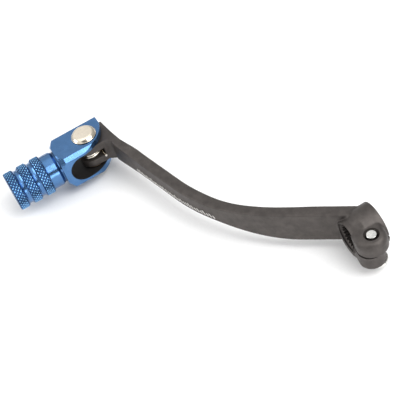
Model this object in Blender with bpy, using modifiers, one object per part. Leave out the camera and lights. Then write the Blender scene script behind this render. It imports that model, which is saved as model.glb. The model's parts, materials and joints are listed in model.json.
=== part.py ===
"""Gear shift lever for a motorcycle: forged arm with a split splined clamp, and a sprung folding toe tip.

Frame: origin at the centre of the splined bore, +X forward, +Y outboard along the bore, +Z up.
The toe tip folds about a pivot pin that stands along Z.
"""

import math

import bmesh
import bpy
from mathutils import Matrix, Vector

MM = 0.001
GAP = 0.25 * MM
TURN = 2 * math.pi

# Clamp on the shift shaft
SPLINE_ROOT_R = 6.1 * MM
SPLINE_TIP_R = 5.6 * MM
SPLINE_TEETH = 24
CLAMP_R = 9.2 * MM
CLAMP_INNER_Y = -7.4 * MM
CLAMP_STEP_Y = 0.8 * MM
TAPER_END_Y = 3.4 * MM
TAPER_END_R = 7.4 * MM
BOSS_R = 8.3 * MM
BOSS_DROP = 1.3 * MM
BOSS_FACE_Y = 5.4 * MM
EAR_R = 6.6 * MM
EAR_CENTRE = (-9.2 * MM, 0.6 * MM)
EAR_TOP = 7.2 * MM
EAR_INNER_X = 0.7 * MM
EAR_TANGENT_X = -2.0 * MM
EAR_SHOULDER = (4.0 * MM, 0.6 * MM)
EAR_ROUND = 2.4 * MM
LOWER_EAR_R = 5.5 * MM
LOWER_EAR_CENTRE = (-9.2 * MM, 1.7 * MM)
LOWER_EAR_BOTTOM = -7.2 * MM
SLIT = 1.2 * MM

# M6 pinch bolt, which stands along Z through the clamp's ears
BOLT_X = -9.7 * MM
BOLT_Y = 0.2 * MM
BOLT_R = 2.85 * MM
BOLT_POINT_R = 2.1 * MM
BOLT_CLEAR_R = 3.3 * MM
BOLT_THREAD_HOLE_R = 3.1 * MM
BOLT_TIP_Z = 7.3 * MM
BOLT_SEAT_Z = -6.9 * MM
BOLT_SEAT_R = 6.6 * MM
BOLT_SPOT_Z = 6.8 * MM
BOLT_SPOT_R = 4.2 * MM
FLANGE_R = 4.5 * MM
FLANGE_THICK = 1.2 * MM
BUTTON_R = 4.1 * MM
BUTTON_HEIGHT = 2.3 * MM
SOCKET_ACROSS = 4.0 * MM
SOCKET_DEPTH = 2.2 * MM

# Pivot of the toe tip
PIVOT = Vector((121.0 * MM, 69.0 * MM, 0.0))
PIN_R = 3.0 * MM
PIN_HEAD_R = 5.85 * MM
PIN_HEAD_RIM = 0.7 * MM
PIN_HEAD_DOME = 1.0 * MM
BUSH_INNER_R = 3.2 * MM
BUSH_OUTER_R = 3.9 * MM
FORK_BORE_R = 4.1 * MM
WASHER_R = 5.3 * MM
THRUST_THICK = 0.45 * MM
CLIP_GROOVE_R = 2.3 * MM
CLIP_THICK = 0.8 * MM
CLIP_R = 4.6 * MM
PIN_WASHER_THICK = 0.8 * MM
PIN_END = 1.2 * MM

# Arm, drawn by its outer edge in plan: two straight runs joined by one bend
ARM_ROOT = Vector((2.1 * MM, -0.1 * MM))
ARM_END = Vector((112.0 * MM, 60.3 * MM))
ROOT_ANGLE = math.radians(50.5)
TIP_ANGLE = math.radians(13.0)
BEND_R = 98.0 * MM
ARM_ROOT_WIDTH = 5.3 * MM
ARM_BEND_WIDTH = 4.7 * MM
ARM_MID_WIDTH = 5.1 * MM
ARM_END_WIDTH = 4.0 * MM
ARM_ROOT_HEIGHT = 15.2 * MM
ARM_MID_HEIGHT = 8.7 * MM
ARM_END_HEIGHT = 11.2 * MM
ARM_EDGE = 0.5 * MM
ARM_BULGE = 0.3 * MM
BEND_STATIONS = 14

# Knuckle: a cross bar that stops the tip's ears, and two fork plates round the pin
FORK_HALF = 5.6 * MM
FORK_R = 6.0 * MM
WINDOW_HALF = 1.9 * MM
WINDOW_DEPTH = 5.3 * MM
SHOULDER = 9.2 * MM
BAR_THICK = 1.5 * MM
BAR_REAR = 9.6 * MM
BAR_SLOPE = 0.8 * MM
BAR_FRONT = 7.6 * MM
FORK_FLARE = 8.2 * MM

# Toe tip, measured from the pivot: head block, then the turned and knurled peg
BLOCK_HALF = 9.2 * MM
BLOCK_CHAMFER = 1.6 * MM
BLOCK_BACK = 9.0 * MM
BLOCK_FRONT = 16.0 * MM
BLOCK_TURNED_R = 11.8 * MM
BLOCK_TURNED_Y = 13.7 * MM
SLOT_HALF = 6.5 * MM
SLOT_DEPTH = 13.2 * MM
CORNER_CENTRE = (6.2 * MM, 6.0 * MM)
CORNER_R = 15.4 * MM
PEG_END = 40.25 * MM
RING_R = 9.1 * MM
RING_WIDTH = 4.4 * MM
GROOVE_WIDTH = 2.2 * MM
GROOVE_R = 8.2 * MM
RING_COUNT = 3
RING_BEVEL = 0.5 * MM
NECK_R = 8.2 * MM
NECK_START = 18.6 * MM
UNDERCUT_R = 7.1 * MM
UNDERCUT_Y = 17.2 * MM

# Torsion spring: coils round the bush, one leg on the arm and one in the tip
WIRE_R = 0.55 * MM
COIL_R = 4.7 * MM
COIL_PITCH = 1.2 * MM
COIL_TURNS = 2.25
COIL_STEPS = 20
ARM_LEG = 7.6 * MM
TIP_LEG = 9.0 * MM
TIP_LEG_TOP = 7.9 * MM
LEG_HOLE_R = 0.9 * MM
LEG_HOLE_TOP = 8.2 * MM

ROUND = 48


# Scene and mesh helpers


def clear_scene():
    for obj in list(bpy.data.objects):
        bpy.data.objects.remove(obj, do_unlink=True)


def new_collection(name):
    collection = bpy.data.collections.new(name)
    bpy.context.scene.collection.children.link(collection)
    return collection


def add_object(name, mesh, collection):
    obj = bpy.data.objects.new(name, mesh)
    collection.objects.link(obj)
    return obj


def add_helper(name, mesh):
    """An operand of a Boolean, which isn't part of the lever."""
    obj = add_object(name, mesh, CUTTERS)
    obj.hide_render = True
    obj.display_type = "WIRE"
    return obj


def mesh_of(name, bm):
    bmesh.ops.recalc_face_normals(bm, faces=bm.faces)
    mesh = bpy.data.meshes.new(name)
    bm.to_mesh(mesh)
    bm.free()
    return mesh


def box_mesh(name, low, high):
    bm = bmesh.new()
    bmesh.ops.create_cube(bm, size=1.0)
    size = Vector(high) - Vector(low)
    centre = (Vector(high) + Vector(low)) / 2
    bmesh.ops.scale(bm, vec=size, verts=bm.verts)
    bmesh.ops.translate(bm, vec=centre, verts=bm.verts)
    return mesh_of(name, bm)


def cone_mesh(name, low_r, high_r, bottom, top, segments=ROUND):
    """A cone or a cylinder that stands along Z."""
    bm = bmesh.new()
    bmesh.ops.create_cone(
        bm, cap_ends=True, segments=segments, radius1=low_r, radius2=high_r, depth=top - bottom
    )
    bmesh.ops.translate(bm, vec=(0, 0, (top + bottom) / 2), verts=bm.verts)
    return mesh_of(name, bm)


def cylinder_mesh(name, radius, bottom, top, segments=ROUND):
    return cone_mesh(name, radius, radius, bottom, top, segments)


def plate_mesh(name, outline, bottom, top):
    """A flat outline in XY, extruded from bottom to top along Z."""
    curve = bpy.data.curves.new(name, "CURVE")
    curve.dimensions = "2D"
    curve.fill_mode = "BOTH"
    curve.extrude = (top - bottom) / 2
    spline = curve.splines.new("POLY")
    spline.points.add(len(outline) - 1)
    for point, (x, y) in zip(spline.points, outline):
        point.co = (x, y, 0, 1)
    spline.use_cyclic_u = True
    guide = add_object(name + "_outline", curve, CUTTERS)
    bpy.context.view_layer.update()
    graph = bpy.context.evaluated_depsgraph_get()
    mesh = bpy.data.meshes.new_from_object(guide.evaluated_get(graph))
    bpy.data.objects.remove(guide, do_unlink=True)
    bm = bmesh.new()
    bm.from_mesh(mesh)
    bmesh.ops.remove_doubles(bm, verts=bm.verts, dist=0.00001)
    bmesh.ops.translate(bm, vec=(0, 0, (top + bottom) / 2), verts=bm.verts)
    return mesh_of(name, bm)


def turned_mesh(name, profile):
    """Edges at +X, listed down the outer side as (radius, height), for a Screw modifier about Z."""
    mesh = bpy.data.meshes.new(name)
    points = [(radius, 0, height) for radius, height in profile]
    mesh.from_pydata(points, [(i, i + 1) for i in range(len(points) - 1)], [])
    return mesh


def add_screw(obj, steps=ROUND):
    screw = obj.modifiers.new("turn", "SCREW")
    screw.angle = TURN
    screw.steps = steps
    screw.render_steps = steps
    screw.use_merge_vertices = True
    screw.merge_threshold = 0.00001
    screw.use_smooth_shade = True


def add_boolean(obj, other, operation):
    boolean = obj.modifiers.new(other.name, "BOOLEAN")
    boolean.operation = operation
    boolean.object = other


def along_y(obj):
    """Lays an object that was made along Z along Y."""
    obj.rotation_euler = (-math.pi / 2, 0, 0)


def add_material(obj, name, colour, roughness, metallic):
    material = bpy.data.materials.get(name) or bpy.data.materials.new(name)
    material.use_nodes = True
    shader = material.node_tree.nodes["Principled BSDF"]
    shader.inputs["Base Color"].default_value = (*colour, 1)
    shader.inputs["Roughness"].default_value = roughness
    shader.inputs["Metallic"].default_value = metallic
    material.diffuse_color = (*colour, 1)
    obj.data.materials.append(material)


def arc(centre, radius, start, end, steps):
    """Points on an arc, with both ends; the angles are in degrees."""
    points = []
    for i in range(steps + 1):
        angle = math.radians(start + (end - start) * i / steps)
        points.append((centre[0] + radius * math.cos(angle), centre[1] + radius * math.sin(angle)))
    return points


# Lever arm


def arm_stations():
    """Points along the arm's outer edge in plan, each with its heading."""
    root_way = Vector((math.cos(ROOT_ANGLE), math.sin(ROOT_ANGLE)))
    end_way = Vector((math.cos(TIP_ANGLE), math.sin(TIP_ANGLE)))
    reach = ARM_END - ARM_ROOT
    corner = ARM_ROOT + root_way * (reach.cross(end_way) / root_way.cross(end_way))
    tangent = BEND_R * math.tan((ROOT_ANGLE - TIP_ANGLE) / 2)
    start = corner - root_way * tangent
    centre = start + Vector((root_way.y, -root_way.x)) * BEND_R

    stations = [(ARM_ROOT, ROOT_ANGLE), (ARM_ROOT.lerp(start, 0.5), ROOT_ANGLE)]
    for i in range(BEND_STATIONS + 1):
        heading = ROOT_ANGLE + (TIP_ANGLE - ROOT_ANGLE) * i / BEND_STATIONS
        outward = Vector((-math.sin(heading), math.cos(heading)))
        stations.append((centre + outward * BEND_R, heading))
    last = stations[-1][0]
    for share in (0.35, 0.7, 0.85, 1.0):
        stations.append((last.lerp(ARM_END, share), TIP_ANGLE))
    return stations


def smooth_step(low, high, x):
    t = min(max((x - low) / (high - low), 0.0), 1.0)
    return t * t * (3 - 2 * t)


def arm_height(x):
    """The forging is deep at the clamp, slims through the bend and deepens again at the knuckle."""
    slim = smooth_step(17 * MM, 51 * MM, x)
    deep = smooth_step(92 * MM, 112 * MM, x)
    height = ARM_ROOT_HEIGHT + (ARM_MID_HEIGHT - ARM_ROOT_HEIGHT) * slim
    return height + (ARM_END_HEIGHT - ARM_MID_HEIGHT) * deep


def arm_width(x):
    slim = smooth_step(10 * MM, 28 * MM, x)
    wide = smooth_step(36 * MM, 56 * MM, x)
    narrow = smooth_step(98 * MM, 112 * MM, x)
    width = ARM_ROOT_WIDTH + (ARM_BEND_WIDTH - ARM_ROOT_WIDTH) * slim
    width += (ARM_MID_WIDTH - ARM_BEND_WIDTH) * wide
    return width + (ARM_END_WIDTH - ARM_MID_WIDTH) * narrow


def arm_section(width, height):
    """Section of the arm as (outward, up) points, with bevelled corners and a slightly full outer side."""
    h = height / 2
    e = ARM_EDGE
    return [
        (0, h - e),
        (-e, h),
        (-width + 1.6 * e, h),
        (-width, h - 1.6 * e),
        (-width, -h + 1.6 * e),
        (-width + 1.6 * e, -h),
        (-e, -h),
        (0, -h + e),
        (ARM_BULGE, -h / 2),
        (ARM_BULGE, h / 2),
    ]


def arm_mesh():
    bm = bmesh.new()
    rings = []
    for place, heading in arm_stations():
        outward = Vector((-math.sin(heading), math.cos(heading), 0))
        ring = []
        for across, up in arm_section(arm_width(place.x), arm_height(place.x)):
            ring.append(bm.verts.new(place.to_3d() + outward * across + Vector((0, 0, up))))
        rings.append(ring)
    count = len(rings[0])
    for near, far in zip(rings, rings[1:]):
        for i in range(count):
            j = (i + 1) % count
            bm.faces.new((near[i], near[j], far[j], far[i]))
    bm.faces.new(rings[0])
    bm.faces.new(rings[-1])
    return mesh_of("arm_beam", bm)


def spline_outline():
    """Serrations of the bore, tooth by tooth."""
    outline = []
    for i in range(SPLINE_TEETH):
        for share, radius in ((0.1, SPLINE_TIP_R), (0.4, SPLINE_ROOT_R), (0.6, SPLINE_ROOT_R), (0.9, SPLINE_TIP_R)):
            angle = TURN * (i + share) / SPLINE_TEETH
            outline.append((radius * math.cos(angle), radius * math.sin(angle)))
    return outline


def ear_outline(centre, radius, inset=0):
    """Plan of one of the clamp's ears: as wide as the barrel where it leaves it, round at the rear."""
    inner_y = CLAMP_INNER_Y + GAP + inset
    outline = arc(centre, radius - inset, 90, 250, 20)
    outline.append((EAR_TANGENT_X, inner_y))
    outline.append((EAR_INNER_X, inner_y))
    outline.append((EAR_INNER_X, BOSS_FACE_Y - GAP - inset))
    along, drop = EAR_SHOULDER
    outline.append((centre[0] + along, centre[1] + radius - drop - inset))
    return outline


def upper_ear_mesh():
    """Upper ear, whose outline draws in towards the top so that its rim is round."""
    bm = bmesh.new()
    rings = []
    for inset, height in [(0, 0)] + arc((EAR_ROUND, EAR_TOP - EAR_ROUND), EAR_ROUND, 180, 90, 4):
        rings.append([bm.verts.new((x, y, height)) for x, y in ear_outline(EAR_CENTRE, EAR_R, inset)])
    count = len(rings[0])
    for low, high in zip(rings, rings[1:]):
        for i in range(count):
            j = (i + 1) % count
            bm.faces.new((low[i], low[j], high[j], high[i]))
    bm.faces.new(rings[0])
    bm.faces.new(rings[-1])
    return mesh_of("upper_ear", bm)


def knuckle_outline():
    """Plan of the fork and its cross bar, about the pivot."""
    bar_back = -SHOULDER - BAR_THICK
    outline = arc((0, 0), FORK_R, 0, 180, 20)
    outline.append((-FORK_R, -SHOULDER + 3.0 * MM))
    outline.append((-FORK_FLARE, -SHOULDER))
    outline.append((-BAR_REAR, -SHOULDER - 0.3 * MM))
    outline.append((-BAR_REAR, bar_back - BAR_SLOPE))
    outline.append((BAR_FRONT, bar_back))
    outline.append((BAR_FRONT, -SHOULDER))
    outline.append((FORK_R, -SHOULDER))
    return outline


def build_lever_arm():
    arm = add_object("lever_arm", arm_mesh(), PARTS)

    clamp = add_helper("clamp_barrel", cylinder_mesh("clamp_barrel", CLAMP_R, CLAMP_INNER_Y, CLAMP_STEP_Y))
    along_y(clamp)
    boss = add_helper("clamp_boss", cylinder_mesh("clamp_boss", BOSS_R, CLAMP_INNER_Y / 2, BOSS_FACE_Y))
    along_y(boss)
    boss.location.z = -BOSS_DROP
    taper = add_helper("clamp_taper", cone_mesh("clamp_taper", CLAMP_R, TAPER_END_R, CLAMP_STEP_Y - GAP, TAPER_END_Y))
    along_y(taper)
    upper_ear = add_helper("upper_ear", upper_ear_mesh())
    lower_outline = ear_outline(LOWER_EAR_CENTRE, LOWER_EAR_R)
    lower_ear = add_helper("lower_ear", plate_mesh("lower_ear", lower_outline, LOWER_EAR_BOTTOM, 0.2 * MM))
    knuckle = add_helper("knuckle", plate_mesh("knuckle", knuckle_outline(), -FORK_HALF, FORK_HALF))
    knuckle.location = PIVOT
    for piece in (clamp, taper, boss, upper_ear, lower_ear, knuckle):
        add_boolean(arm, piece, "UNION")

    bore = add_helper("bore_cut", plate_mesh("bore_cut", spline_outline(), -12 * MM, 12 * MM))
    along_y(bore)
    slit = add_helper(
        "slit_cut", box_mesh("slit_cut", (-20 * MM, -12 * MM, -SLIT / 2), (0, 12 * MM, SLIT / 2))
    )
    clearance = add_helper("bolt_cut", cylinder_mesh("bolt_cut", BOLT_CLEAR_R, -12 * MM, 0))
    thread = add_helper("thread_cut", cylinder_mesh("thread_cut", BOLT_THREAD_HOLE_R, -1 * MM, 12 * MM))
    seat = add_helper("seat_cut", cylinder_mesh("seat_cut", BOLT_SEAT_R, -14 * MM, BOLT_SEAT_Z))
    spot = add_helper("spot_cut", cylinder_mesh("spot_cut", BOLT_SPOT_R, BOLT_SPOT_Z, 14 * MM))
    for cutter in (clearance, thread, seat, spot):
        cutter.location = (BOLT_X, BOLT_Y, 0)
    window = add_helper(
        "window_cut",
        box_mesh("window_cut", (-12 * MM, -WINDOW_DEPTH, -WINDOW_HALF), (12 * MM, 12 * MM, WINDOW_HALF)),
    )
    window.location = PIVOT
    pivot = add_helper("pivot_cut", cylinder_mesh("pivot_cut", FORK_BORE_R, -12 * MM, 12 * MM))
    pivot.location = PIVOT
    for cutter in (bore, slit, clearance, thread, seat, spot, window, pivot):
        add_boolean(arm, cutter, "DIFFERENCE")
    add_material(arm, "grey_anodised", (0.095, 0.085, 0.078), 0.42, 0.9)


# Toe tip


def peg_profile():
    """Peg and neck as (radius, distance from the pivot), from the outer end down to the head block."""
    profile = [(0, PEG_END)]
    end = PEG_END
    for ring in range(RING_COUNT):
        start = end - RING_WIDTH
        profile.append((RING_R - RING_BEVEL, end))
        profile.append((RING_R, end - RING_BEVEL))
        profile.append((RING_R, start + RING_BEVEL))
        profile.append((RING_R - RING_BEVEL, start))
        if ring < RING_COUNT - 1:
            profile.append((GROOVE_R, start))
            profile.append((GROOVE_R, start - GROOVE_WIDTH))
        end = start - GROOVE_WIDTH
    profile.append((NECK_R, start))
    profile.append((NECK_R, NECK_START))
    profile.append((UNDERCUT_R, UNDERCUT_Y))
    profile.append((UNDERCUT_R, BLOCK_FRONT - 1.5 * MM))
    profile.append((0, BLOCK_FRONT - 1.5 * MM))
    return profile


def block_envelope():
    """Turned shape that rounds the outboard end of the square head block."""
    reach = BLOCK_TURNED_R - (BLOCK_FRONT - BLOCK_TURNED_Y)
    return [
        (0, BLOCK_FRONT),
        (reach, BLOCK_FRONT),
        (BLOCK_TURNED_R + 3 * MM, BLOCK_TURNED_Y - 3 * MM),
        (BLOCK_TURNED_R + 3 * MM, -BLOCK_BACK - 3 * MM),
        (0, -BLOCK_BACK - 3 * MM),
    ]


def slot_outline():
    """Slot between the ears, with a round bottom, as (distance from the pivot, height)."""
    centre = SLOT_DEPTH - SLOT_HALF
    outline = arc((centre, 0), SLOT_HALF, -90, 90, 20)
    outline.append((-BLOCK_BACK - 4 * MM, SLOT_HALF))
    outline.append((-BLOCK_BACK - 4 * MM, -SLOT_HALF))
    return outline


def corner_outline():
    """What is cut from the ears' rear corner, so that it can swing past the arm."""
    outline = arc(CORNER_CENTRE, CORNER_R, 180, 270, 20)
    outline.append((CORNER_CENTRE[0], -20 * MM))
    outline.append((-20 * MM, -20 * MM))
    outline.append((-20 * MM, CORNER_CENTRE[1]))
    return outline


def block_mesh():
    low = (-BLOCK_HALF, -BLOCK_BACK, -BLOCK_HALF)
    high = (BLOCK_HALF, BLOCK_FRONT + 2 * MM, BLOCK_HALF)
    mesh = box_mesh("toe_tip", low, high)
    bm = bmesh.new()
    bm.from_mesh(mesh)
    long_edges = [e for e in bm.edges if abs((e.verts[0].co - e.verts[1].co).y) > BLOCK_BACK]
    bmesh.ops.bevel(bm, geom=long_edges, offset=BLOCK_CHAMFER, segments=1, affect="EDGES")
    return mesh_of("toe_tip", bm)


def build_toe_tip(parent):
    tip = add_object("toe_tip", block_mesh(), PARTS)
    tip.parent = parent

    envelope = add_helper("block_turning", turned_mesh("block_turning", block_envelope()))
    peg = add_helper("peg", turned_mesh("peg", peg_profile()))
    for piece in (envelope, peg):
        add_screw(piece)
        along_y(piece)
    slot = add_helper("slot_cut", plate_mesh("slot_cut", slot_outline(), -20 * MM, 20 * MM))
    slot.matrix_world = Matrix(((0, 0, 1, 0), (1, 0, 0, 0), (0, 1, 0, 0), (0, 0, 0, 1)))
    corner = add_helper("corner_cut", plate_mesh("corner_cut", corner_outline(), -12 * MM, 12 * MM))
    bore = add_helper("pin_cut", cylinder_mesh("pin_cut", BUSH_INNER_R, -12 * MM, 12 * MM))
    leg_hole = add_helper("leg_cut", cylinder_mesh("leg_cut", LEG_HOLE_R, 0, LEG_HOLE_TOP, 16))
    leg_hole.location = (COIL_R, TIP_LEG, 0)
    for helper in (envelope, peg, slot, corner, bore, leg_hole):
        helper.parent = parent
    add_boolean(tip, envelope, "INTERSECT")
    add_boolean(tip, peg, "UNION")
    for cutter in (slot, corner, bore, leg_hole):
        add_boolean(tip, cutter, "DIFFERENCE")
    add_material(tip, "blue_anodised", (0.06, 0.18, 0.47), 0.35, 0.9)


# Pieces on the pivot


def add_turned(name, profile, parent, material):
    obj = add_object(name, turned_mesh(name, profile), PARTS)
    obj.parent = parent
    add_screw(obj)
    add_material(obj, *material)
    return obj


def sleeve_profile(inner, outer, bottom, top):
    """Closed profile of a ring or a tube, which starts and ends at its upper inner edge."""
    return [(inner, top), (outer, top), (outer, bottom), (inner, bottom), (inner, top)]


def build_pivot_pieces(parent):
    steel = ("stainless_steel", (0.78, 0.74, 0.66), 0.25, 1.0)
    zinc = ("zinc_plated", (0.62, 0.62, 0.6), 0.35, 1.0)
    bronze = ("sintered_bronze", (0.42, 0.3, 0.16), 0.45, 1.0)

    seat = BLOCK_HALF + GAP
    washer_top = -BLOCK_HALF - GAP
    washer_bottom = washer_top - PIN_WASHER_THICK
    groove_top = washer_bottom - GAP
    groove_bottom = groove_top - CLIP_THICK - 2 * GAP
    pin_bottom = groove_bottom - PIN_END
    head = []
    for i in range(5):
        share = i / 5
        head.append((PIN_HEAD_R * share, seat + PIN_HEAD_RIM + PIN_HEAD_DOME * (1 - share * share)))
    pin = head + [
        (PIN_HEAD_R, seat + PIN_HEAD_RIM),
        (PIN_HEAD_R, seat),
        (PIN_R, seat),
        (PIN_R, groove_top),
        (CLIP_GROOVE_R, groove_top),
        (CLIP_GROOVE_R, groove_bottom),
        (PIN_R, groove_bottom),
        (PIN_R, pin_bottom),
        (0, pin_bottom),
    ]
    add_turned("pivot_pin", pin, parent, steel)
    add_turned(
        "pin_washer", sleeve_profile(BUSH_INNER_R, WASHER_R, washer_bottom, washer_top), parent, zinc
    )
    add_turned(
        "pivot_bush", sleeve_profile(BUSH_INNER_R, BUSH_OUTER_R, -FORK_HALF, FORK_HALF), parent, bronze
    )
    low = FORK_HALF + (SLOT_HALF - FORK_HALF - THRUST_THICK) / 2
    washer = sleeve_profile(BUSH_INNER_R, WASHER_R, low, low + THRUST_THICK)
    add_turned("upper_thrust_washer", washer, parent, bronze)
    washer = sleeve_profile(BUSH_INNER_R, WASHER_R, -low - THRUST_THICK, -low)
    add_turned("lower_thrust_washer", washer, parent, bronze)

    clip = arc((0, 0), CLIP_R, -60, 240, 30) + arc((0, 0), CLIP_GROOVE_R + GAP, 235, -55, 24)
    ring = add_object(
        "retaining_ring",
        plate_mesh("retaining_ring", clip, groove_bottom + GAP, groove_top - GAP),
        PARTS,
    )
    ring.parent = parent
    add_material(ring, *zinc)


def spring_points():
    """Centre line of the wire: leg on the arm, coils that climb round the bush, leg hooked up into the tip."""
    bottom = -COIL_PITCH * COIL_TURNS / 2
    points = [(-ARM_LEG, -COIL_R, bottom), (-ARM_LEG / 2, -COIL_R, bottom)]
    count = round(COIL_TURNS * COIL_STEPS)
    for i in range(count + 1):
        turn = COIL_TURNS * i / count
        angle = TURN * (turn - 0.25)
        points.append((COIL_R * math.cos(angle), COIL_R * math.sin(angle), bottom + COIL_PITCH * turn))
    top = points[-1][2]
    bend = 2 * WIRE_R
    points.append((COIL_R, TIP_LEG - bend, top))
    points.append((COIL_R, TIP_LEG - 0.3 * bend, top + 0.3 * bend))
    points.append((COIL_R, TIP_LEG, top + bend))
    points.append((COIL_R, TIP_LEG, TIP_LEG_TOP))
    return points


def build_spring(parent):
    curve = bpy.data.curves.new("torsion_spring", "CURVE")
    curve.dimensions = "3D"
    curve.bevel_depth = WIRE_R
    curve.bevel_resolution = 2
    curve.use_fill_caps = True
    points = spring_points()
    spline = curve.splines.new("POLY")
    spline.points.add(len(points) - 1)
    for point, place in zip(spline.points, points):
        point.co = (*place, 1)
    spring = add_object("torsion_spring", curve, PARTS)
    spring.parent = parent
    add_material(spring, "spring_steel", (0.75, 0.73, 0.68), 0.2, 1.0)


# Pinch bolt


def build_pinch_bolt():
    flange_top = BOLT_SEAT_Z - GAP
    flange_bottom = flange_top - FLANGE_THICK
    profile = [
        (0, BOLT_TIP_Z),
        (BOLT_POINT_R, BOLT_TIP_Z),
        (BOLT_R, BOLT_TIP_Z + BOLT_POINT_R - BOLT_R),
        (BOLT_R, flange_top),
        (FLANGE_R, flange_top),
        (FLANGE_R, flange_bottom),
        (BUTTON_R, flange_bottom),
    ]
    for share in (0.4, 0.7, 0.9, 1.0):
        profile.append((BUTTON_R * (1 - 0.45 * share * share), flange_bottom - BUTTON_HEIGHT * share))
    profile.append((0, flange_bottom - BUTTON_HEIGHT))
    bolt = add_object("pinch_bolt", turned_mesh("pinch_bolt", profile), PARTS)
    bolt.location = (BOLT_X, BOLT_Y, 0)
    add_screw(bolt)
    socket_floor = flange_bottom - BUTTON_HEIGHT + SOCKET_DEPTH
    socket = add_helper(
        "socket_cut",
        cylinder_mesh("socket_cut", SOCKET_ACROSS / math.sqrt(3), flange_bottom - 2 * BUTTON_HEIGHT, socket_floor, 6),
    )
    socket.location = bolt.location
    add_boolean(bolt, socket, "DIFFERENCE")
    add_material(bolt, "zinc_plated", (0.62, 0.62, 0.6), 0.35, 1.0)


def shade_round_pieces():
    for obj in PARTS.objects:
        if obj.type == "MESH" and obj.data.polygons:
            obj.data.shade_smooth()
            obj.data.set_sharp_from_angle(angle=math.radians(30))


clear_scene()
PARTS = new_collection("gear_shift_lever")
CUTTERS = new_collection("cutters")
tip_pivot = add_object("tip_pivot", None, PARTS)
tip_pivot.location = PIVOT
build_lever_arm()
build_toe_tip(tip_pivot)
build_pivot_pieces(tip_pivot)
build_spring(tip_pivot)
build_pinch_bolt()
shade_round_pieces()
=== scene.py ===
import json
import math

import bmesh
import bpy
import numpy as np
from mathutils import Matrix, Vector


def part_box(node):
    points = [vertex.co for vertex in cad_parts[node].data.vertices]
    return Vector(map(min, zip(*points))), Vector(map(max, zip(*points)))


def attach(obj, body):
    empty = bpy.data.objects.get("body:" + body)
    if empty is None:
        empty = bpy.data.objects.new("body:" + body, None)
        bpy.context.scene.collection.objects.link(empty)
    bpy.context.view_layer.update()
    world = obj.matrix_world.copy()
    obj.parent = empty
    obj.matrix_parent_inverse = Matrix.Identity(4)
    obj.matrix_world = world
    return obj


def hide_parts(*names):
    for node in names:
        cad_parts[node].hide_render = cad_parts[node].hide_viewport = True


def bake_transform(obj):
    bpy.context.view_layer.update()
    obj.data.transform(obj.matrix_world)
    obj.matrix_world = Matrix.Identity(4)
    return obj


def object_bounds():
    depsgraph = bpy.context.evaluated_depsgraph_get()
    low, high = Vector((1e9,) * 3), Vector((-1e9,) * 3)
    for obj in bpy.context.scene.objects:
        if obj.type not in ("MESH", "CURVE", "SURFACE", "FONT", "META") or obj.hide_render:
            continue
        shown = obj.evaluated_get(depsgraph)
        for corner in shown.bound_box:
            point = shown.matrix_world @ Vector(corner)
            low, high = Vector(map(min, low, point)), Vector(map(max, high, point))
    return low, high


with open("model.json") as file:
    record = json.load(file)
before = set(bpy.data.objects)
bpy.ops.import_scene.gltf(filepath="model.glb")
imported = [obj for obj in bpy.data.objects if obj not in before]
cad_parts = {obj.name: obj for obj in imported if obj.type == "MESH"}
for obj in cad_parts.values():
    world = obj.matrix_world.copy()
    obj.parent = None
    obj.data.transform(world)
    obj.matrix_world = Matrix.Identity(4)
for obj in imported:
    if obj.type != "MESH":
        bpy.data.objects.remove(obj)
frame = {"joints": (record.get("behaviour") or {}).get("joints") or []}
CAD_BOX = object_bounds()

MM = 0.001
TURN = 2 * math.pi
PIVOT = Vector(frame["joints"][0]["pos_m"])
SCENE = bpy.context.scene.collection

# Camera, at the photograph's viewing angle
CAMERA_PLACE = (-0.2822, 0.1190, 0.3532)
CAMERA_RIGHT = (-0.44922, -0.85789, -0.24947)
CAMERA_DOWN = (-0.57215, 0.49070, -0.65717)
CAMERA_AHEAD = (0.68619, -0.15248, -0.71127)
CAMERA_LENS = 105.7

# Clamp
BARREL_R = 9.2 * MM
CLAMP_INNER_Y = -7.4 * MM
SLIT_HALF = 0.6 * MM
SPLINE_COUNT = 24
BOLT_PLACE = Vector((-9.7 * MM, 0.2 * MM, 0))

# Arm, along its outer edge in plan
ARM_ROOT = Vector((2.1 * MM, -0.1 * MM))
ARM_END = Vector((112.0 * MM, 60.3 * MM))
ROOT_ANGLE = math.radians(50.5)
TIP_ANGLE = math.radians(13.0)
BEND_R = 98.0 * MM

# Etched hatch strip
TICK_STEP = 1.7 * MM
TICKS_FROM = 47.6 * MM
TICKS_TO = 94.8 * MM

# Knuckle
FORK_HALF = 5.6 * MM
WINDOW_HALF = 1.9 * MM
PIN_HOLE_R = 3.2 * MM

# Toe tip; lengths along it are from the pivot
BLOCK_HALF = 9.2 * MM
SLOT_HALF = 6.5 * MM
SLOT_END = 13.2 * MM
CHAMFER = 1.6 * MM
RING_R = 9.22 * MM
GROOVE_R = 8.2 * MM
NECK_R = 8.2 * MM
RING_WIDTH = 4.4 * MM
RING_SPACE = 2.2 * MM
PEG_END = 40.25 * MM
KNURL_COUNT = 33
KNURL_PITCH = 1.75 * MM
KNURL_DEPTH = 0.42 * MM

# Where painted highlight and painted shade change the blue on the peg
RINGS_FROM = 22.6 * MM
BLOCK_FACE = 15.95 * MM
RING_LEAST_R = 8.68 * MM
KNURL_DARK_R = 8.92 * MM
KNURL_PALE_R = 9.2 * MM
UNDERCUT_MOST_R = 7.9 * MM


# Helpers for meshes


def add_object(name, mesh):
    obj = bpy.data.objects.new(name, mesh)
    SCENE.objects.link(obj)
    return obj


def mesh_of(name, bm):
    bmesh.ops.recalc_face_normals(bm, faces=bm.faces)
    mesh = bpy.data.meshes.new(name)
    bm.to_mesh(mesh)
    bm.free()
    return mesh


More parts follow.
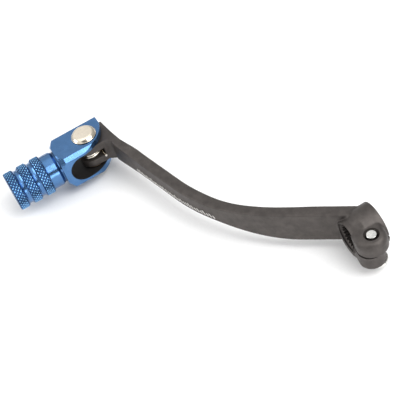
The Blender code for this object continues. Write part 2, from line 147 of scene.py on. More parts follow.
def rows_mesh(name, rows, loop=False):
    """A closed skin over rows of points, each row a ring.

    A loop joins the last row to the first; else both get caps.
    """
    rows = np.asarray(rows, float)
    count, round_count = rows.shape[:2]
    faces = []
    for i in range(count if loop else count - 1):
        near = i * round_count
        far = (i + 1) % count * round_count
        for j in range(round_count):
            k = (j + 1) % round_count
            faces.append((near + j, near + k, far + k, far + j))
    if not loop:
        faces.append(tuple(range(round_count)))
        faces.append(tuple(range((count - 1) * round_count, count * round_count)))
    mesh = bpy.data.meshes.new(name)
    mesh.from_pydata(rows.reshape(-1, 3).tolist(), [], faces)
    bm = bmesh.new()
    bm.from_mesh(mesh)
    bpy.data.meshes.remove(mesh)
    return mesh_of(name, bm)


def turned_rows(profile, steps=96):
    """Rings about Z from (radius, height) points."""
    angles = np.arange(steps) * TURN / steps
    rows = []
    for radius, height in profile:
        ring = np.stack([radius * np.cos(angles), radius * np.sin(angles), np.full(steps, height)], 1)
        rows.append(ring)
    return np.array(rows)


def lay_along_y(rows):
    """Turns rings about Z into rings about Y."""
    rows = np.asarray(rows, float)
    return np.stack([rows[..., 0], rows[..., 2], -rows[..., 1]], -1)


def rounded(profile, size, steps=4, closed=False):
    """The same profile with each corner eased over up to size along its two edges."""
    points = [Vector(p) for p in profile]
    out = []
    count = len(points)
    for i, corner in enumerate(points):
        if not closed and i in (0, count - 1):
            out.append(tuple(corner))
            continue
        before = points[i - 1] - corner
        after = points[(i + 1) % count] - corner
        reach = min(size, 0.45 * before.length, 0.45 * after.length)
        start = corner + before.normalized() * reach
        end = corner + after.normalized() * reach
        for step in range(steps + 1):
            t = step / steps
            out.append(tuple(start * (1 - t) ** 2 + corner * 2 * t * (1 - t) + end * t * t))
    return out


def arc(centre, radius, start, end, steps):
    """Points on an arc, with both ends; the angles are in degrees."""
    points = []
    for i in range(steps + 1):
        angle = math.radians(start + (end - start) * i / steps)
        points.append((centre[0] + radius * math.cos(angle), centre[1] + radius * math.sin(angle)))
    return points


def plate_rows(outline, bottom, top):
    """Two rings that make a plate of this outline in XY."""
    return [[(x, y, z) for x, y in outline] for z in (bottom, top)]


def joined_mesh(name, meshes):
    bm = bmesh.new()
    for mesh in meshes:
        bm.from_mesh(mesh)
    return mesh_of(name, bm)


def applied(obj):
    """Bakes an object's modifiers into its mesh."""
    bpy.context.view_layer.update()
    graph = bpy.context.evaluated_depsgraph_get()
    mesh = bpy.data.meshes.new_from_object(obj.evaluated_get(graph))
    obj.modifiers.clear()
    old = obj.data
    obj.data = mesh
    mesh.name = obj.name
    bpy.data.meshes.remove(old)
    return obj


def boolean(obj, mesh, operation, solver="MANIFOLD"):
    """Joins or cuts obj with a mesh, and bakes the result."""
    other = add_object("operand", mesh)
    modifier = obj.modifiers.new(operation, "BOOLEAN")
    modifier.operation = operation
    modifier.object = other
    modifier.solver = solver
    applied(obj)
    bpy.data.objects.remove(other, do_unlink=True)
    bpy.data.meshes.remove(mesh)


def moved(mesh, offset):
    mesh.transform(Matrix.Translation(offset))
    return mesh


def bevelled(obj, width, angle=30, segments=2):
    modifier = obj.modifiers.new("edges", "BEVEL")
    modifier.width = width
    modifier.segments = segments
    modifier.limit_method = "ANGLE"
    modifier.angle_limit = math.radians(angle)
    modifier.use_clamp_overlap = True
    return applied(obj)


def shaded(obj, angle=35):
    obj.data.shade_smooth()
    obj.data.set_sharp_from_angle(angle=math.radians(angle))
    return obj


def finished(obj, material, body, slot, *nodes):
    """Gives a piece its material and its CAD body, and hides the CAD nodes it stands for; the slot is not
    used.
    """
    obj.data.materials.clear()
    obj.data.materials.append(material)
    if body:
        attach(obj, body)
    if nodes:
        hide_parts(*nodes)
    return obj


# Materials


class Surface:
    """A Principled material with helpers for its noise, bump and colour nodes, in object coordinates."""

    def __init__(self, name, metallic, **sockets):
        self.material = bpy.data.materials.new(name)
        self.material.use_nodes = True
        self.tree = self.material.node_tree
        self.shader = self.tree.nodes["Principled BSDF"]
        self.shader.inputs["Metallic"].default_value = metallic
        for socket, value in sockets.items():
            self.shader.inputs[socket.replace("_", " ")].default_value = value
        self.coordinates = self.tree.nodes.new("ShaderNodeTexCoord").outputs["Object"]

    def link(self, output, node, socket):
        self.tree.links.new(output, node.inputs[socket])

    def noise(self, per_metre, detail=4.0, roughness=0.6, stretch=(1, 1, 1)):
        mapping = self.tree.nodes.new("ShaderNodeMapping")
        mapping.inputs["Scale"].default_value = stretch
        self.link(self.coordinates, mapping, "Vector")
        node = self.tree.nodes.new("ShaderNodeTexNoise")
        node.inputs["Scale"].default_value = per_metre
        node.inputs["Detail"].default_value = detail
        node.inputs["Roughness"].default_value = roughness
        self.link(mapping.outputs["Vector"], node, "Vector")
        return node.outputs["Fac"]

    def ramp(self, factor, low, high, first=0.35, last=0.65):
        """Colour that runs from low to high as the factor goes from first to last."""
        node = self.tree.nodes.new("ShaderNodeValToRGB")
        node.color_ramp.elements[0].position = first
        node.color_ramp.elements[0].color = (*low, 1)
        node.color_ramp.elements[1].position = last
        node.color_ramp.elements[1].color = (*high, 1)
        self.link(factor, node, "Fac")
        return node.outputs["Color"]

    def range(self, factor, low, high):
        node = self.tree.nodes.new("ShaderNodeMapRange")
        node.inputs["From Min"].default_value = 0.3
        node.inputs["From Max"].default_value = 0.7
        node.inputs["To Min"].default_value = low
        node.inputs["To Max"].default_value = high
        self.link(factor, node, "Value")
        return node.outputs["Result"]

    def maths(self, operation, first, second=None):
        node = self.tree.nodes.new("ShaderNodeMath")
        node.operation = operation
        for socket, value in zip(node.inputs, (first, second)):
            if isinstance(value, (int, float)):
                socket.default_value = value
            elif value is not None:
                self.tree.links.new(value, socket)
        return node.outputs[0]

    def stretch(self, factor, low, high):
        """0 at low, 1 at high."""
        node = self.tree.nodes.new("ShaderNodeMapRange")
        node.inputs["From Min"].default_value = low
        node.inputs["From Max"].default_value = high
        self.link(factor, node, "Value")
        return node.outputs["Result"]

    def mixed(self, factor, first, second):
        node = self.tree.nodes.new("ShaderNodeMix")
        node.data_type = "RGBA"
        self.tree.links.new(factor, node.inputs[0])
        self.tree.links.new(first, node.inputs[6])
        self.tree.links.new(second, node.inputs[7])
        return node.outputs[2]

    def bump(self, *layers):
        """Stacked bumps, each (height output, distance in metres, strength)."""
        normal = None
        for height, distance, strength in layers:
            node = self.tree.nodes.new("ShaderNodeBump")
            node.inputs["Strength"].default_value = strength
            node.inputs["Distance"].default_value = distance
            self.link(height, node, "Height")
            if normal is not None:
                self.link(normal, node, "Normal")
            normal = node.outputs["Normal"]
        self.link(normal, self.shader, "Normal")


def grey_anodised():
    s = Surface("grey_anodised", 0.75)
    mottle = s.noise(260, 5)
    grain = s.noise(5200, 3, 0.7)
    s.link(s.ramp(mottle, (0.070, 0.062, 0.058), (0.097, 0.086, 0.080)), s.shader, "Base Color")
    s.link(s.range(grain, 0.46, 0.6), s.shader, "Roughness")
    s.bump((grain, 0.00006, 0.35), (mottle, 0.0003, 0.1))
    return s.material


def blue_anodised():
    """Blue anodising, with painted highlight making the knurl's crests pale and painted shade darkening its
    grooves and the recess by the head block.
    """
    s = Surface("blue_anodised", 0.93, Coat_Weight=0.15, Coat_Roughness=0.2)
    cloud = s.noise(180, 4)
    turned = s.noise(1.0, 3, 0.7, (120, 9000, 120))
    grain = s.noise(6000, 2)
    plain = s.ramp(cloud, (0.074, 0.178, 0.37), (0.090, 0.210, 0.43))
    split = s.tree.nodes.new("ShaderNodeSeparateXYZ")
    s.link(s.coordinates, split, "Vector")
    across = s.maths("SUBTRACT", split.outputs["X"], PIVOT.x)
    squares = s.maths("ADD", s.maths("POWER", across, 2), s.maths("POWER", split.outputs["Z"], 2))
    radius = s.maths("SQRT", squares)
    # painted highlight and painted shade on the knurl: pale blue toward the crests, dark blue down in the
    # grooves
    crest = s.stretch(radius, KNURL_DARK_R, KNURL_PALE_R)
    knurl = s.ramp(crest, (0.022, 0.070, 0.19), (0.27, 0.58, 0.95), 0.0, 1.0)
    on_peg = s.maths("GREATER_THAN", split.outputs["Y"], PIVOT.y + RINGS_FROM)
    on_ring = s.maths("MULTIPLY", on_peg, s.maths("GREATER_THAN", radius, RING_LEAST_R))
    # painted shade: darker blue in the recess between the neck and the head block
    past_block = s.maths("GREATER_THAN", split.outputs["Y"], PIVOT.y + BLOCK_FACE)
    undercut_shade = s.maths("MULTIPLY", past_block, s.maths("LESS_THAN", radius, UNDERCUT_MOST_R))
    deep = s.ramp(cloud, (0.034, 0.085, 0.19), (0.040, 0.098, 0.21))
    s.link(s.mixed(on_ring, s.mixed(undercut_shade, plain, deep), knurl), s.shader, "Base Color")
    s.link(s.range(turned, 0.12, 0.19), s.shader, "Roughness")
    s.bump((turned, 0.00004, 0.3), (grain, 0.00003, 0.2))
    return s.material


def painted_slot_shade():
    """Painted shade: near-black colour for the inside of the slot in the head block, which sits in shade.
    """
    s = Surface("slot_painted_shade", 0.3)
    grain = s.noise(2400, 3)
    s.link(s.ramp(grain, (0.009, 0.008, 0.008), (0.016, 0.015, 0.016)), s.shader, "Base Color")
    s.link(s.range(grain, 0.5, 0.65), s.shader, "Roughness")
    return s.material


def steel(name, colour, dark, roughness, per_metre=4000):
    s = Surface(name, 1.0)
    haze = s.noise(400, 4)
    scratch = s.noise(1.0, 4, 0.7, (per_metre, per_metre * 0.12, per_metre * 0.4))
    s.link(s.ramp(haze, dark, colour), s.shader, "Base Color")
    s.link(s.range(scratch, roughness * 0.75, roughness * 1.3), s.shader, "Roughness")
    s.bump((scratch, 0.00002, 0.25))
    return s.material


def etched():
    s = Surface("etched_metal", 0.4)
    grain = s.noise(9000, 2)
    s.link(s.ramp(grain, (0.60, 0.58, 0.55), (0.78, 0.76, 0.73)), s.shader, "Base Color")
    s.link(s.range(grain, 0.5, 0.7), s.shader, "Roughness")
    return s.material


def paper():
    s = Surface("floor_paper", 0.0, Roughness=0.9)
    fibre = s.noise(900, 3)
    s.link(s.ramp(fibre, (0.92, 0.92, 0.92), (0.94, 0.94, 0.94)), s.shader, "Base Color")
    return s.material


GREY = grey_anodised()
BLUE = blue_anodised()
STAINLESS = steel("stainless", (0.95, 0.86, 0.72), (0.88, 0.79, 0.65), 0.10)
WIRE = steel("spring_wire", (0.86, 0.82, 0.74), (0.72, 0.68, 0.60), 0.18)
ZINC = steel("zinc_plate", (0.80, 0.79, 0.76), (0.66, 0.66, 0.64), 0.28)
BRONZE = steel("sintered_bronze", (0.52, 0.36, 0.18), (0.36, 0.24, 0.11), 0.42)
ETCHED = etched()
PAINTED_SLOT_SHADE = painted_slot_shade()


# Forged arm: beam, clamp and knuckle


def arm_stations():
    """Points along the arm's outer edge in plan, each with its heading."""
    root_way = Vector((math.cos(ROOT_ANGLE), math.sin(ROOT_ANGLE)))
    end_way = Vector((math.cos(TIP_ANGLE), math.sin(TIP_ANGLE)))
    reach = ARM_END - ARM_ROOT
    corner = ARM_ROOT + root_way * (reach.cross(end_way) / root_way.cross(end_way))
    tangent = BEND_R * math.tan((ROOT_ANGLE - TIP_ANGLE) / 2)
    start = corner - root_way * tangent
    centre = start + Vector((root_way.y, -root_way.x)) * BEND_R
    stations = []
    for i in range(16):
        stations.append((ARM_ROOT.lerp(start, i / 16), ROOT_ANGLE))
    for i in range(49):
        heading = ROOT_ANGLE + (TIP_ANGLE - ROOT_ANGLE) * i / 48
        outward = Vector((-math.sin(heading), math.cos(heading)))
        stations.append((centre + outward * BEND_R, heading))
    last = stations[-1][0]
    for i in range(1, 25):
        stations.append((last.lerp(ARM_END, i / 24), TIP_ANGLE))
    return stations


def smooth_step(low, high, x):
    t = min(max((x - low) / (high - low), 0.0), 1.0)
    return t * t * (3 - 2 * t)


def arm_height(x):
    slim = smooth_step(17 * MM, 51 * MM, x)
    deep = smooth_step(92 * MM, 112 * MM, x)
    return (15.2 - 6.5 * slim + 2.5 * deep) * MM


def arm_width(x):
    slim = smooth_step(10 * MM, 28 * MM, x)
    wide = smooth_step(36 * MM, 56 * MM, x)
    narrow = smooth_step(98 * MM, 112 * MM, x)
    return (5.3 - 0.6 * slim + 0.4 * wide - 1.1 * narrow) * MM


def arm_section(width, height):
    h = height / 2
    side = [(0, h), (-width, h), (-width, -h), (0, -h)]
    eased = rounded(side, 0.55 * MM, 3, closed=True)
    full = []
    for across, up in eased:
        swell = 0.3 * MM * (1 - (up / h) ** 2) if across > -0.6 * MM else 0
        full.append((across + swell, up))
    return full


def beam_mesh():
    rows = []
    for place, heading in arm_stations():
        outward = Vector((-math.sin(heading), math.cos(heading), 0))
        ring = []
        for across, up in arm_section(arm_width(place.x), arm_height(place.x)):
            ring.append(place.to_3d() + outward * across + Vector((0, 0, up)))
        rows.append(ring)
    return rows_mesh("beam", rows)


def ear_outline(centre, radius, inset):
    inner_y = -7.15 * MM + inset
    outline = arc(centre, radius - inset, 90, 250, 40)
    outline.append((-2 * MM, inner_y))
    outline.append((0.7 * MM, inner_y))
    outline.append((0.7 * MM, 5.15 * MM - inset))
    outline.append((centre[0] + 4 * MM, centre[1] + radius - 0.6 * MM - inset))
    return outline


def ear_mesh(centre, radius, top, ease, base=0.0):
    """One ear of the clamp, whose rim is rounded by drawing its outline in."""
    way = 1 if top > 0 else -1
    rows = [[(x, y, base) for x, y in ear_outline(centre, radius, 0)]]
    for inset, height in arc((ease, abs(top) - ease), ease, 180, 90, 8):
        rows.append([(x, y, way * height) for x, y in ear_outline(centre, radius, inset)])
    return rows_mesh("ear", rows)


def knuckle_outline():
    """Plan of the fork with its cross bar, and the hollow curve that leads from the bar into the arm."""
    outline = arc((0, 0), 6.0 * MM, 0, 180, 40)
    outline += [(-6.0 * MM, -6.2 * MM), (-8.2 * MM, -9.2 * MM), (-9.6 * MM, -9.5 * MM)]
    outline += [(-14.0 * MM, -10.6 * MM), (-18.0 * MM, -14.0 * MM)]
    start = Vector((-18.0 * MM, -14.6 * MM))
    bend = Vector((-7.0 * MM, -12.0 * MM))
    end = Vector((7.3 * MM, -10.6 * MM))
    for i in range(13):
        t = i / 12
        outline.append(tuple(start * (1 - t) ** 2 + bend * 2 * t * (1 - t) + end * t * t))
    outline += [(7.5 * MM, -9.2 * MM), (6.0 * MM, -9.2 * MM)]
    return outline


def forging():
    """Beam, clamp and knuckle melted into one forging, before it is machined."""
    parts = [beam_mesh()]
    barrel = turned_rows([(BARREL_R, -8.0 * MM), (BARREL_R, 0.8 * MM)], 128)
    parts.append(rows_mesh("barrel", lay_along_y(barrel)))
    taper = turned_rows([(BARREL_R, 0.6 * MM), (7.4 * MM, 3.4 * MM)], 128)
    parts.append(rows_mesh("taper", lay_along_y(taper)))
    boss = rows_mesh("boss", lay_along_y(turned_rows([(8.3 * MM, -3.7 * MM), (8.3 * MM, 6.2 * MM)], 128)))
    parts.append(moved(boss, (0, 0, -1.3 * MM)))
    parts.append(ear_mesh((-9.2 * MM, 0.6 * MM), 6.6 * MM, 7.2 * MM, 2.6 * MM))
    parts.append(ear_mesh((-9.2 * MM, 1.7 * MM), 5.5 * MM, -7.4 * MM, 0.6 * MM))
    parts.append(moved(rows_mesh("knuckle", plate_rows(knuckle_outline(), -FORK_HALF, FORK_HALF)), PIVOT))
    obj = add_object("forged_arm", joined_mesh("forged_arm", parts))
    for mesh in parts:
        bpy.data.meshes.remove(mesh)
    remesh = obj.modifiers.new("melt", "REMESH")
    remesh.mode = "VOXEL"
    remesh.voxel_size = 0.26 * MM
    applied(obj)

    clamp = obj.vertex_groups.new(name="clamp")
    for vertex in obj.data.vertices:
        x, y, z = vertex.co
        reach = math.hypot(x, y * 1.1)
        weight = 1 - smooth_step(12 * MM, 22 * MM, reach) if x > 0 else 1.0
        if weight > 0:
            clamp.add([vertex.index], weight, "REPLACE")
    light = obj.modifiers.new("even", "SMOOTH")
    light.factor = 0.5
    light.iterations = 3
    strong = obj.modifiers.new("fillets", "SMOOTH")
    strong.factor = 0.5
    strong.iterations = 14
    strong.vertex_group = "clamp"
    applied(obj)
    obj.vertex_groups.clear()
    return obj


def thread_rows(inner, outer, bottom, top, pitch, steps=48):
    """Rings whose radius follows a helical V thread."""
    angles = np.arange(steps) * TURN / steps
    heights = np.arange(bottom, top + 1e-9, pitch / 8)
    rows = []
    for height in heights:
        phase = (height / pitch - angles / TURN) % 1.0
        radius = inner + (outer - inner) * (1 - np.abs(phase * 2 - 1))
        rows.append(np.stack([radius * np.cos(angles), radius * np.sin(angles), np.full(steps, height)], 1))
    return rows


def spline_rows():
    outline = []
    for i in range(SPLINE_COUNT):
        for share, radius in ((0.08, 5.6), (0.42, 6.15), (0.58, 6.15), (0.92, 5.6)):
            angle = TURN * (i + share) / SPLINE_COUNT
            outline.append((radius * MM * math.cos(angle), radius * MM * math.sin(angle)))
    return lay_along_y(plate_rows(outline, -12 * MM, 12 * MM))


def box_mesh(low, high):
    bm = bmesh.new()
    bmesh.ops.create_cube(bm, size=1.0)
    low = Vector(low)
    high = Vector(high)
    bmesh.ops.scale(bm, vec=high - low, verts=bm.verts)
    bmesh.ops.translate(bm, vec=(high + low) / 2, verts=bm.verts)
    return mesh_of("box", bm)


def build_arm():
    arm = forging()
    # faced ends of the clamp
    facing = [(6.3 * MM, 12 * MM), (6.3 * MM, 5.4 * MM)]
    boolean(arm, rows_mesh("facing", lay_along_y(turned_rows(facing, 96))), "DIFFERENCE")
    inner_end = box_mesh((-20 * MM, -12 * MM, -20 * MM), (20 * MM, CLAMP_INNER_Y, 20 * MM))
    boolean(arm, inner_end, "DIFFERENCE")
    # splined bore with its lead-in, and the slit
    boolean(arm, rows_mesh("bore", spline_rows()), "DIFFERENCE")
    lead = [(7.2 * MM, 6.2 * MM), (5.5 * MM, 4.6 * MM)]
    boolean(arm, rows_mesh("lead", lay_along_y(turned_rows(lead, 96))), "DIFFERENCE")
    boolean(arm, box_mesh((-20 * MM, -12 * MM, -SLIT_HALF), (0, 12 * MM, SLIT_HALF)), "DIFFERENCE")
    # bolt hole: seat, clearance, thread and countersink
    seat = rows_mesh("seat", turned_rows([(6.6 * MM, -14 * MM), (6.6 * MM, -6.9 * MM)], 96))
    boolean(arm, moved(seat, BOLT_PLACE), "DIFFERENCE")
    clear = rows_mesh("clear", turned_rows([(3.3 * MM, -12 * MM), (3.3 * MM, 0.1 * MM)], 64))
    boolean(arm, moved(clear, BOLT_PLACE), "DIFFERENCE")
    thread = rows_mesh("thread", thread_rows(2.6 * MM, 2.9 * MM, -1 * MM, 12 * MM, 1.0 * MM))
    boolean(arm, moved(thread, BOLT_PLACE), "DIFFERENCE")
    sink = [(2.7 * MM, 6.2 * MM), (3.2 * MM, 6.8 * MM), (3.4 * MM, 12 * MM)]
    boolean(arm, moved(rows_mesh("sink", turned_rows(sink, 96)), BOLT_PLACE), "DIFFERENCE")
    # window for the spring and bore for the bush
    window = box_mesh((-12 * MM, -5.3 * MM, -WINDOW_HALF), (12 * MM, 12 * MM, WINDOW_HALF))
    boolean(arm, moved(window, PIVOT), "DIFFERENCE")
    pivot = [(4.4 * MM, -6.5 * MM), (4.4 * MM, -5.5 * MM), (4.1 * MM, -5.2 * MM)]
    pivot += [(radius, -height) for radius, height in reversed(pivot)]
    boolean(arm, moved(rows_mesh("pivot", turned_rows(pivot, 96)), PIVOT), "DIFFERENCE")
    shaded(arm, 38)
    finished(arm, GREY, "arm", "lever_arm", "lever_arm")


def build_ticks():
    """Etched hatch strip along the lower edge of the arm's outer side."""
    stations = arm_stations()
    places = [station[0] for station in stations]
    lengths = [0.0]
    for near, far in zip(places, places[1:]):
        lengths.append(lengths[-1] + (far - near).length)
    bm = bmesh.new()
    for i in range(int(lengths[-1] / TICK_STEP)):
        along = TICK_STEP * i
        index = max(k for k in range(len(lengths)) if lengths[k] <= along)
        near, heading = stations[index]
        forward = Vector((math.cos(heading), math.sin(heading), 0))
        outward = Vector((-forward.y, forward.x, 0))
        base = near.to_3d() + forward * (along - lengths[index])
        if not TICKS_FROM < base.x < TICKS_TO:
            continue
        h = arm_height(base.x) / 2
        low = -h + (1.7 - 0.5 * smooth_step(62 * MM, 80 * MM, base.x)) * MM
        tall = (2.2 if i % 5 == 0 else 1.8 if i % 2 == 0 else 1.4) * MM
        corners = []
        for side, up in ((-0.24, 0), (0.24, 0), (0.24, tall), (-0.24, tall)):
            z = low + up
            swell = 0.3 * MM * (1 - (z / h) ** 2)
            spot = base + forward * (side * MM + up * 0.5) + outward * (swell + 0.07 * MM)
            spot.z = z
            corners.append(spot)
        inner = [bm.verts.new(c - outward * 0.2 * MM) for c in corners]
        outer = [bm.verts.new(c) for c in corners]
        bm.faces.new(outer)
        bm.faces.new(reversed(inner))
        for k in range(4):
            m = (k + 1) % 4
            bm.faces.new((inner[k], inner[m], outer[m], outer[k]))
    ticks = add_object("etched_ticks", mesh_of("etched_ticks", bm))
    finished(ticks, ETCHED, "arm", "lever_arm")


# Toe tip: slotted head block and knurled peg


def peg_rows():
    """Rings down the peg, from its outer end to inside the head block, about +Z here."""
    steps = KNURL_COUNT * 12
    angles = np.arange(steps) * TURN / steps
    # each entry is a radius, a height and whether the knurl is cut there
    profile = [(0.4, 40.0, 0), (0.9, 39.55, 0), (1.4, 40.05, 0)]
    profile += [(1.7, 40.1, 0), (8.2, 40.1, 0), (8.5, 40.25, 0)]
    profile = [(radius * MM, height * MM, knurl) for radius, height, knurl in profile]
    end = PEG_END
    for ring in range(3):
        start = end - RING_WIDTH
        profile.append((RING_R - 0.5 * MM, end, 0))
        for i in range(41):
            height = end + (start - end) * i / 40
            edge = min(end - height, height - start)
            drop = max(0.0, 0.45 * MM - edge)
            profile.append((RING_R - drop, height, 1))
        profile.append((RING_R - 0.5 * MM, start, 0))
        if ring < 2:
            profile += [(GROOVE_R, start - 0.6 * MM, 0), (GROOVE_R, start - 1.5 * MM, 0)]
        end = start - RING_SPACE
    profile += [(NECK_R + 0.2 * MM, start - 0.02 * MM, 0), (NECK_R, start - 0.3 * MM, 0)]
    profile += [(NECK_R, 17.8 * MM, 0), (NECK_R - 0.2 * MM, 17.6 * MM, 0), (7.6 * MM, 16.9 * MM, 0)]
    profile += [(7.5 * MM, 16.7 * MM, 0), (7.5 * MM, 14.5 * MM, 0)]
    rows = []
    for radius, height, knurl in profile:
        ring = np.full(steps, radius)
        if knurl:
            turn = KNURL_COUNT * angles / TURN
            grooves = []
            for side in (1, -1):
                phase = (turn + side * height / KNURL_PITCH) % 1.0
                grooves.append(np.clip((np.abs(phase * 2 - 1) - 0.2) / 0.8, 0, 1))
            ring = radius - KNURL_DEPTH * np.maximum(*grooves)
        rows.append(np.stack([ring * np.cos(angles), ring * np.sin(angles), np.full(steps, height)], 1))
    return rows


def build_tip():
    bm = bmesh.new()
    bm.from_mesh(box_mesh((-BLOCK_HALF, -9.0 * MM, -BLOCK_HALF), (BLOCK_HALF, 18 * MM, BLOCK_HALF)))
    long_edges = [e for e in bm.edges if abs((e.verts[0].co - e.verts[1].co).y) > 9 * MM]
    bmesh.ops.bevel(bm, geom=long_edges, offset=CHAMFER, segments=1, affect="EDGES")
    tip = add_object("tip_body", mesh_of("tip_body", bm))

    envelope = [(7.2, 16.0), (9.5, 16.0), (14.8, 10.7), (14.8, -12)]
    envelope = [(radius * MM, height * MM) for radius, height in envelope]
    boolean(tip, rows_mesh("turning", lay_along_y(turned_rows(envelope, 160))), "INTERSECT", "EXACT")
    slot = arc((SLOT_END - SLOT_HALF, 0), SLOT_HALF, -90, 90, 40)
    slot += [(-13 * MM, SLOT_HALF), (-13 * MM, -SLOT_HALF)]
    rows = [[(x, y, z) for y, z in slot] for x in (-20 * MM, 20 * MM)]
    boolean(tip, rows_mesh("slot", rows), "DIFFERENCE", "EXACT")
    corner = arc((6.2 * MM, 6.0 * MM), 15.4 * MM, 180, 270, 48)
    corner += [(6.2 * MM, -20 * MM), (-20 * MM, -20 * MM), (-20 * MM, 6.0 * MM)]
    boolean(tip, rows_mesh("corner", plate_rows(corner, -12 * MM, 12 * MM)), "DIFFERENCE", "EXACT")
    hole = rows_mesh("hole", turned_rows([(PIN_HOLE_R, -12 * MM), (PIN_HOLE_R, 12 * MM)], 64))
    boolean(tip, hole, "DIFFERENCE", "EXACT")
    bevelled(tip, 0.14 * MM, 28)
    tip.data.materials.append(BLUE)
    # the second material is near-black painted shade for the faces inside the slot
    tip.data.materials.append(PAINTED_SLOT_SHADE)
    for face in tip.data.polygons:
        inside = abs(face.center.z) < 6.53 * MM and face.center.y < 13.25 * MM
        face.material_index = 1 if inside and abs(face.normal.x) < 0.3 else 0
    peg = rows_mesh("peg", lay_along_y(peg_rows()))
    boolean(tip, peg, "UNION", "MANIFOLD")
    tip.data.transform(Matrix.Translation(PIVOT))
    shaded(tip, 12)
    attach(tip, "tip")
    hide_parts("toe_tip")


# Pieces on the pivot


def add_turned(name, profile, material, body, slot, node, steps=128, ease=0.12 * MM, loop=False):
    points = rounded([(r * MM, h * MM) for r, h in profile], ease, 3, closed=loop)
    obj = add_object(name, moved(rows_mesh(name, turned_rows(points, steps), loop), PIVOT))
    shaded(obj, 40)
    return finished(obj, material, body, slot, node)


def sleeve(inner, outer, bottom, top):
    return [(inner, top), (outer, top), (outer, bottom), (inner, bottom)]


def build_pivot_pieces():
    head = [(0.15, 11.15), (1.2, 11.14), (2.4, 11.1)]
    for tilt in range(4, 65, 5):
        angle = math.radians(tilt)
        head.append((3.55 + 2.4 * math.sin(angle), 11.04 - 2.4 * (1 - math.cos(angle))))
    pin = head + [(5.85, 9.65), (5.85, 9.5), (5.75, 9.45), (3.0, 9.45), (3.0, -10.75), (2.3, -10.75)]
    pin += [(2.3, -12.0), (3.0, -12.0), (3.0, -12.9), (2.7, -13.2), (0.2, -13.2)]
    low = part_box("pivot_pin")[0].z / MM
    pin = [(radius, max(height, low)) for radius, height in pin]
    add_turned("pin", pin, STAINLESS, "tip", "pivot_pin", "pivot_pin", ease=0.1 * MM)
    for name, node, inner, outer, material, body, slot in (
        ("bush", "pivot_bush", 3.2, 3.9, BRONZE, "arm", "pivot_bush"),
        ("thrust_upper", "upper_thrust_washer", 3.2, 5.3, BRONZE, "tip", "thrust_washers"),
        ("thrust_lower", "lower_thrust_washer", 3.2, 5.3, BRONZE, "tip", "thrust_washers"),
        ("washer", "pin_washer", 3.2, 5.3, ZINC, "tip", "pin_fasteners"),
    ):
        low, high = (corner.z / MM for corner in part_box(node))
        profile = sleeve(inner, outer, low, high)
        add_turned(name, profile, material, body, slot, node, loop=True, ease=0.08 * MM)

    low, high = (corner.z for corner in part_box("retaining_ring"))
    outline = arc((0, 0), 4.6 * MM, -60, 240, 60) + arc((0, 0), 2.55 * MM, 235, -55, 48)
    clip = add_object("clip", moved(rows_mesh("clip", plate_rows(outline, low, high)), PIVOT))
    bevelled(clip, 0.1 * MM, 40)
    shaded(clip, 40)
    finished(clip, ZINC, "tip", "pin_fasteners", "retaining_ring")


def build_spring():
    """Coils round the bush, with one leg on the arm and one hooked up into the tip."""
    wire, coil, pitch, turns = 0.55 * MM, 4.7 * MM, 1.2 * MM, 2.25
    bottom = -pitch * turns / 2
    points = [(-7.6 * MM, -coil, bottom), (-3.8 * MM, -coil, bottom), (-1.0 * MM, -coil, bottom)]
    count = round(turns * 48)
    for i in range(count + 1):
        angle = TURN * (turns * i / count - 0.25)
        points.append((coil * math.cos(angle), coil * math.sin(angle), bottom + pitch * turns * i / count))
    top = points[-1][2]
    leg = [(2, 0), (5, 0), (7.7, 0), (8.2, 0.07), (8.6, 0.25), (8.85, 0.55), (9, 1.0), (9, 3), (9, 6.55)]
    for y, z in leg:
        points.append((coil, y * MM, top + z * MM))
    curve = bpy.data.curves.new("spring", "CURVE")
    curve.dimensions = "3D"
    curve.bevel_depth = wire
    curve.bevel_resolution = 5
    curve.use_fill_caps = True
    spline = curve.splines.new("POLY")
    spline.points.add(len(points) - 1)
    for point, place in zip(spline.points, points):
        point.co = (*place, 1)
    guide = add_object("guide", curve)
    bpy.context.view_layer.update()
    mesh = bpy.data.meshes.new_from_object(guide.evaluated_get(bpy.context.evaluated_depsgraph_get()))
    bpy.data.objects.remove(guide, do_unlink=True)
    bm = bmesh.new()
    bm.from_mesh(mesh)
    bmesh.ops.remove_doubles(bm, verts=bm.verts, dist=1e-7)
    spring = add_object("spring", moved(mesh_of("spring", bm), PIVOT))
    bevelled(spring, 0.12 * MM, 60)
    shaded(spring, 50)
    finished(spring, WIRE, None, "torsion_spring", "torsion_spring")
    middle = PIVOT.copy()
    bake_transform(spring)


# Pinch bolt


def build_bolt():
    flange_top = -7.15 * MM
    thread_bottom, thread_top = -6.6 * MM, 3.8 * MM
    rows = []
    rows += list(turned_rows([(0.5 * MM, -10.65 * MM), (2.5 * MM, -10.65 * MM)], 48))
    for share in (1.0, 0.85, 0.65, 0.4, 0.15, 0.0):
        radius = 4.1 * MM * (1 - 0.4 * share * share)
        rows += list(turned_rows([(radius, flange_top - 1.2 * MM - 2.3 * MM * share)], 48))
    flange = [(4.3, -8.33), (4.45, -8.2), (4.5, -8.0), (4.5, -7.3)]
    flange += [(4.4, -7.17), (4.2, -7.15), (3.0, -7.15)]
    rows += list(turned_rows([(radius * MM, height * MM) for radius, height in flange], 48))
    rows += list(thread_rows(2.2 * MM, 2.5 * MM, thread_bottom, thread_top, 1.0 * MM))
    point = [(2.2, 4.0), (2.05, 4.2), (2.05, 7.2), (1.95, 7.3)]
    rows += list(turned_rows([(radius * MM, height * MM) for radius, height in point], 48))
    bolt = add_object("bolt", rows_mesh("bolt", rows))
    hexagon = [(2.31, -14.0), (2.31, -8.7), (1.2, -8.3)]
    socket = rows_mesh("socket", turned_rows([(r * MM, h * MM) for r, h in hexagon], 6))
    boolean(bolt, socket, "DIFFERENCE")
    bolt.data.transform(Matrix.Translation(BOLT_PLACE))
    shaded(bolt, 30)
    finished(bolt, ZINC, "arm", "pinch_bolt", "pinch_bolt")


# Stage


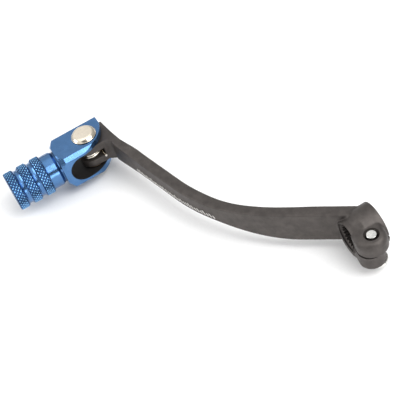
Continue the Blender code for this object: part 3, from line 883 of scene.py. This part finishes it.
def build_stage():
    bm = bmesh.new()
    bmesh.ops.create_grid(bm, x_segments=1, y_segments=1, size=3.0)
    floor = add_object("floor", mesh_of("floor", bm))
    floor.location = (0, 0, CAD_BOX[0][2] - 0.2 * MM)
    floor.data.materials.append(paper())

    camera = bpy.data.objects.new("camera", bpy.data.cameras.new("camera"))
    SCENE.objects.link(camera)
    camera.data.lens = CAMERA_LENS
    camera.data.sensor_width = 36.0
    camera.data.clip_end = 20.0
    axes = Matrix((CAMERA_RIGHT, [-v for v in CAMERA_DOWN], [-v for v in CAMERA_AHEAD]))
    camera.matrix_world = Matrix.Translation(CAMERA_PLACE) @ axes.transposed().to_4x4()
    bpy.context.scene.camera = camera

    add_softbox("top_strip", (-0.50, -0.34, 0.80), 1.2, 0.86, 0.84, 5.2)
    add_softbox("low_strip", (-1.0, -0.1, 0.12), 1.1, 1.0, 0.26, 3.8)
    add_softbox("side_softbox", (0.34, 0.84, 0.43), 1.2, 0.6, 0.45, 4.5)
    build_world()
    bpy.context.scene.view_settings.view_transform = "Standard"


def add_softbox(name, way, distance, width, height, radiance):
    """A rectangular softbox that faces the object, as bright per area as the radiance says."""
    light = bpy.data.objects.new(name, bpy.data.lights.new(name, "AREA"))
    SCENE.objects.link(light)
    light.data.shape = "RECTANGLE"
    light.data.size = width
    light.data.size_y = height
    light.data.energy = radiance * math.pi * width * height
    back = Vector(way).normalized()
    side = Vector((0, -1, 0)) if abs(back.y) < 0.6 else Vector((-1, 0, 0))
    up = back.cross(side).normalized()
    side = up.cross(back)
    place = Vector((0.06, 0.035, 0)) + back * distance
    light.matrix_world = Matrix.Translation(place) @ Matrix((side, up, back)).transposed().to_4x4()
    light.visible_camera = False


def build_world():
    """Even studio walls: brighter overhead, dimmer inboard and where the camera stands."""
    world = bpy.data.worlds.new("studio")
    bpy.context.scene.world = world
    world.use_nodes = True
    tree = world.node_tree
    way = tree.nodes.new("ShaderNodeTexCoord").outputs["Generated"]
    factors = []
    for axis, low, high, dim, bright in (
        ((0, 0, 1), 0.72, 0.95, 0.88, 1.4),
        ((0, 0, 1), -0.05, 0.5, 0.4, 1.0),
        ((0, 1, 0), -0.8, -0.25, 0.5, 1.0),
        ([-v for v in CAMERA_AHEAD], 0.78, 0.94, 1.0, 0.22),
    ):
        dot = tree.nodes.new("ShaderNodeVectorMath")
        dot.operation = "DOT_PRODUCT"
        dot.inputs[1].default_value = axis
        tree.links.new(way, dot.inputs[0])
        band = tree.nodes.new("ShaderNodeMapRange")
        band.interpolation_type = "SMOOTHSTEP"
        for socket, value in (("From Min", low), ("From Max", high), ("To Min", dim), ("To Max", bright)):
            band.inputs[socket].default_value = value
        tree.links.new(dot.outputs["Value"], band.inputs["Value"])
        factors.append(band.outputs["Result"])
    total = factors[0]
    for factor in factors[1:]:
        product = tree.nodes.new("ShaderNodeMath")
        product.operation = "MULTIPLY"
        tree.links.new(total, product.inputs[0])
        tree.links.new(factor, product.inputs[1])
        total = product.outputs[0]
    tree.links.new(total, tree.nodes["Background"].inputs["Strength"])
    tree.nodes["Background"].inputs["Color"].default_value = (1, 1, 1, 1)


build_stage()
build_arm()
build_ticks()
build_tip()
build_pivot_pieces()
build_spring()
build_bolt()
